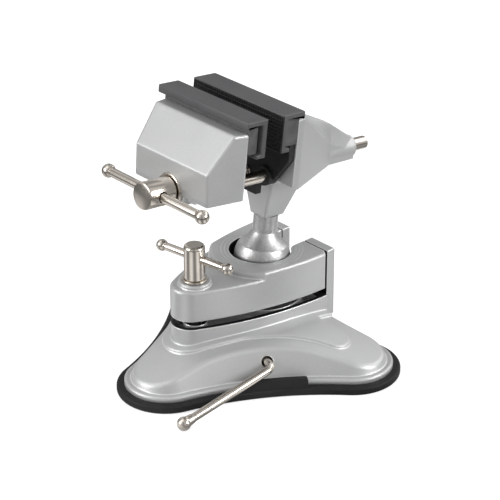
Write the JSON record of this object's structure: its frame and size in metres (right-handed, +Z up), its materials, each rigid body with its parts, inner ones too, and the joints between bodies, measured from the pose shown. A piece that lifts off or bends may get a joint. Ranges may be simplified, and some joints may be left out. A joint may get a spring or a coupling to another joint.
{
  "type": "suction base vise",
  "caption": "Small bench vise on a three-lobed suction base, with a clamped ball joint, capped jaws, a screw with a sliding bar handle and a lever that sets the suction.",
  "frame": {"origin": "centre of the underside of the suction pad, on the bench", "axes": "+Z up from the bench; the jaw screw runs along Y with its handle at -Y; the jaws are wide along X"},
  "size_m": [0.1728, 0.1892, 0.1683],
  "materials": {
    "housing_paint": "satin metallic silver paint",
    "clamp_paint": "satin metallic silver paint",
    "jaw_paint": "satin metallic silver paint",
    "moving_paint": "satin metallic silver paint",
    "pad_rubber": "matte black",
    "raw_cast": "raw cast, grainy",
    "nickel": "bright nickel plate",
    "screw_nickel": "bright nickel plate, faced end",
    "seat_steel": "dark oiled steel",
    "spring_steel": "spring steel",
    "pin_steel": "turned steel",
    "block_steel": "dark phosphated",
    "cover_plastic": "charcoal, textured",
    "nut_brass": "turned",
    "black_screw": "black oxide"
  },
  "bodies": {
    "base": {"base_housing": "housing_paint", "suction_pad": "pad_rubber", "clamp_spring": "spring_steel", "pivot_pins": "pin_steel"},
    "lever": {"suction_lever": "nickel", "lever_ball": "nickel", "lever_cam": "pin_steel", "lever_clip": "black_screw"},
    "pad_stud": {"pad_stud": "pin_steel"},
    "clamp_plate": {"clamp_plate": "clamp_paint"},
    "clamp_washer": {"clamp_washer": "nickel"},
    "clamp_screw": {"clamp_screw": "screw_nickel"},
    "clamp_bar": {"clamp_screw_bar": "nickel", "clamp_bar_balls": "nickel"},
    "ball_seat": {"ball_seat": "seat_steel"},
    "ball_stud": {"ball_stud": "raw_cast"},
    "fixed_jaw": {"fixed_jaw": "jaw_paint", "fixed_jaw_block": "block_steel", "fixed_block_screws": "black_screw", "fixed_jaw_cover": "cover_plastic", "lead_nut": "nut_brass"},
    "moving_jaw": {"moving_jaw": "moving_paint", "moving_jaw_block": "block_steel", "moving_block_screws": "black_screw", "moving_jaw_cover": "cover_plastic", "guide_rods": "nickel", "rod_set_screws": "black_screw"},
    "lead_screw": {"lead_screw": "screw_nickel", "screw_collar": "nickel", "screw_retainer": "black_screw"},
    "handle": {"handle_bar": "nickel", "handle_bar_balls": "nickel"}
  },
  "joints": [
    {"name": "lever_swing", "type": "hinge", "parent": "base", "child": "lever", "pos_m": [0, 0, 0.017], "axis": [-0.9272, 0.3746, 0], "range_deg": [0, 110]},
    {"name": "pad_lift", "type": "slide", "parent": "base", "child": "pad_stud", "axis": [0, 0, 1], "range_m": [0, 0.00201]},
    {"name": "plate_tilt", "type": "hinge", "parent": "base", "child": "clamp_plate", "pos_m": [0, 0.0455, 0.0446], "axis": [-1, 0, 0], "range_deg": [0, 1.4], "deforming": ["clamp_spring"]},
    {"name": "washer_lift", "type": "slide", "parent": "base", "child": "clamp_washer", "axis": [0, 0, 1], "range_m": [0, 0.002]},
    {"name": "clamp_screw_turn", "type": "hinge", "parent": "clamp_washer", "child": "clamp_screw", "pos_m": [0, -0.0353, 0.06], "axis": [0, 0, 1], "range_deg": [0, 720]},
    {"name": "clamp_bar_slide", "type": "slide", "parent": "clamp_screw", "child": "clamp_bar", "axis": [0.9874, 0.1582, 0], "range_m": [-0.012, 0.012]},
    {"name": "seat_swivel", "type": "hinge", "parent": "base", "child": "ball_seat", "pos_m": [0, 0.017, 0.04], "axis": [0, 0, 1], "continuous": true},
    {"name": "ball_tilt", "type": "hinge", "parent": "ball_seat", "child": "ball_stud", "pos_m": [0, 0.017, 0.0579], "axis": [1, 0, 0], "range_deg": [-38.2, 27]},
    {"name": "jaw_spin", "type": "hinge", "parent": "ball_stud", "child": "fixed_jaw", "pos_m": [0, 0.017, 0.0579], "axis": [0, 0.1184, 0.993], "continuous": true},
    {"name": "jaw_slide", "type": "slide", "parent": "fixed_jaw", "child": "moving_jaw", "axis": [0, 0.993, -0.1184], "range_m": [-0.0155, 0.0112]},
    {"name": "jaw_screw_turn", "type": "hinge", "parent": "moving_jaw", "child": "lead_screw", "pos_m": [0, -0.03578, 0.122], "axis": [0, 0.993, -0.1184], "range_deg": [-2800, 2020]},
    {"name": "handle_slide", "type": "slide", "parent": "lead_screw", "child": "handle", "axis": [1, 0, 0], "range_m": [-0.025, 0.025]}
  ],
  "couplings": [
    {"joint": "lever_swing", "follows": "pad_lift", "rad_per_m": 954.2},
    {"joint": "washer_lift", "follows": "plate_tilt", "m_per_rad": 0.0808},
    {"joint": "clamp_screw_turn", "follows": "plate_tilt", "ratio": 507.68},
    {"joint": "jaw_screw_turn", "follows": "jaw_slide", "rad_per_m": 3141.6}
  ]
}
